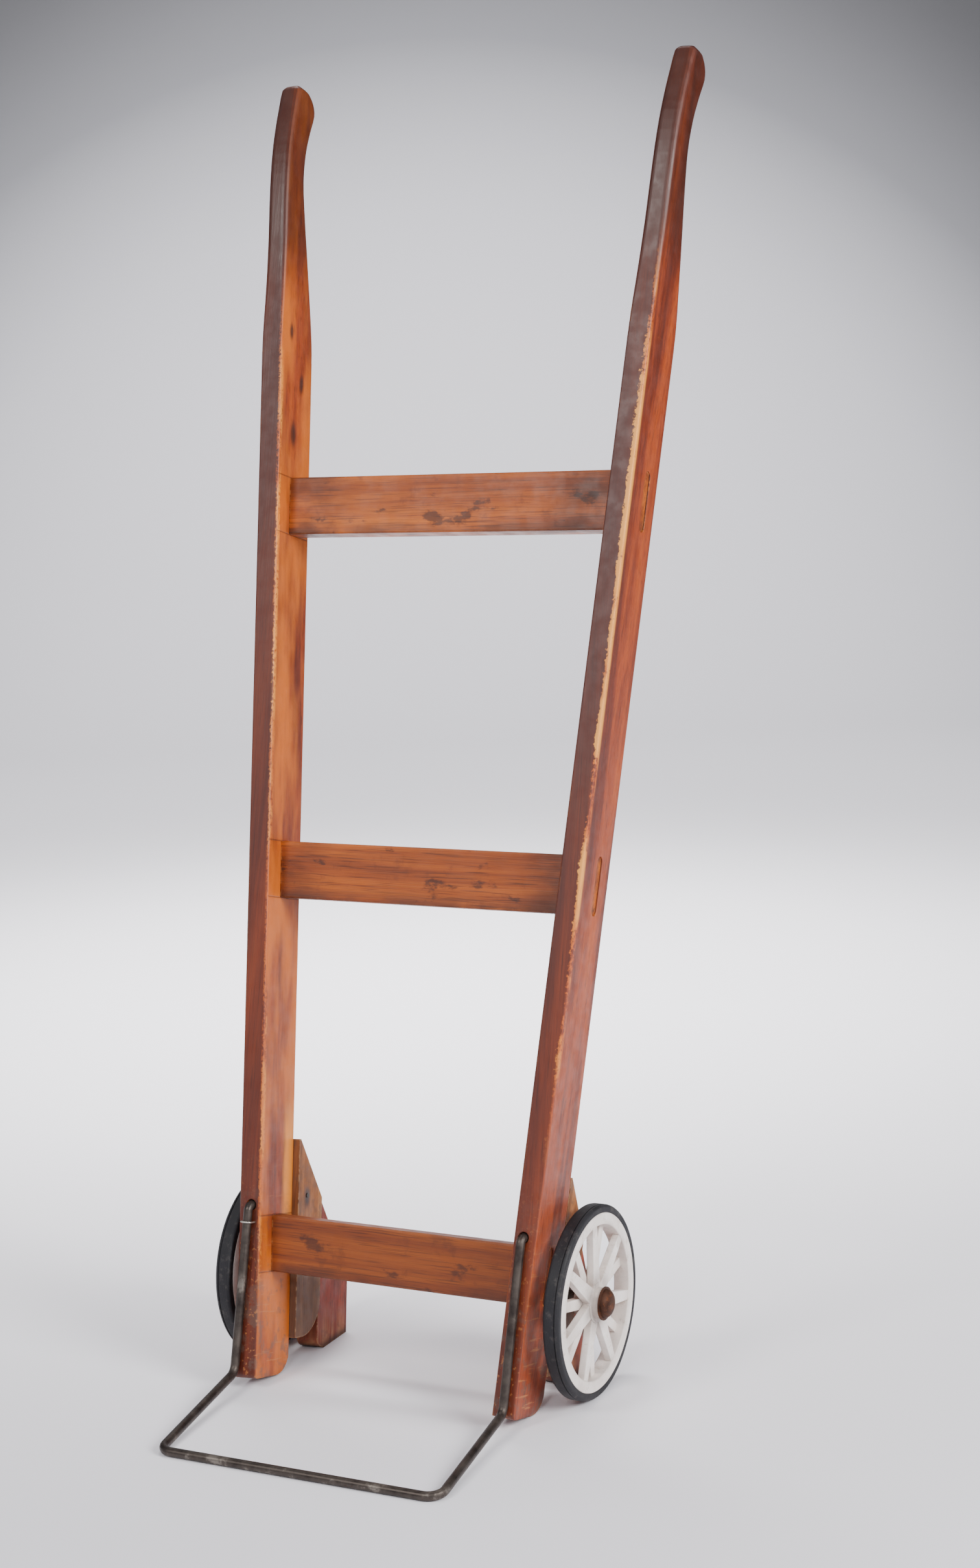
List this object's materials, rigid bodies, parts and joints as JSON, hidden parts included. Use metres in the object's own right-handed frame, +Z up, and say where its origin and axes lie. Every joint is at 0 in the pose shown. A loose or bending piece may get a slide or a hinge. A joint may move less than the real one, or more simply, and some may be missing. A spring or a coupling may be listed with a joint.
{
  "type": "hand truck",
  "caption": "Upright wooden hand truck: leaning ladder frame with shaped handles, bent steel toe loop, rear leg brackets and spoked wheels on a fixed axle.",
  "frame": {"origin": "on the floor below the middle of the whole object's box, midway between the side rails and 114 mm behind where the plane of their front faces meets it", "axes": "+Z up, +X towards the right rail, -Y towards the toe loop, +Y towards the rear legs"},
  "size_m": [0.5056, 0.5913, 1.397],
  "materials": {
    "rail_wood": "stained and worn, satin",
    "rung_wood": "stained and worn, satin",
    "bracket_wood": "stained and worn, matt",
    "dark_steel": "dark, lightly rusted",
    "bright_steel": "dull bright wire",
    "rusty_steel": "brown rust, matt",
    "wheel_plastic": "cream white, grimy",
    "tyre_rubber": "charcoal, worn"
  },
  "bodies": {
    "truck": {"left_rail": "rail_wood", "right_rail": "rail_wood", "top_rung": "rung_wood", "middle_rung": "rung_wood", "bottom_rung": "rung_wood", "left_bracket_block": "bracket_wood", "right_bracket_block": "bracket_wood", "left_leg": "bracket_wood", "right_leg": "bracket_wood", "bracket_screws": "rusty_steel", "bracket_nails": "rusty_steel", "toe_loop": "dark_steel", "rod_staple": "bright_steel", "axle": "dark_steel", "left_washer": "dark_steel", "right_washer": "dark_steel", "axle_spacer": "dark_steel", "left_axle_cap": "rusty_steel", "right_axle_cap": "rusty_steel"},
    "left_wheel_set": {"left_wheel": "wheel_plastic", "left_tyre": "tyre_rubber"},
    "right_wheel_set": {"right_wheel": "wheel_plastic", "right_tyre": "tyre_rubber"}
  },
  "joints": [
    {"name": "left_wheel_spin", "type": "hinge", "parent": "truck", "child": "left_wheel_set", "pos_m": [-0.18826, 0.00893, 0.1016], "axis": [1, 0, 0], "continuous": true},
    {"name": "right_wheel_spin", "type": "hinge", "parent": "truck", "child": "right_wheel_set", "pos_m": [0.20026, 0.00893, 0.1016], "axis": [1, 0, 0], "continuous": true}
  ]
}
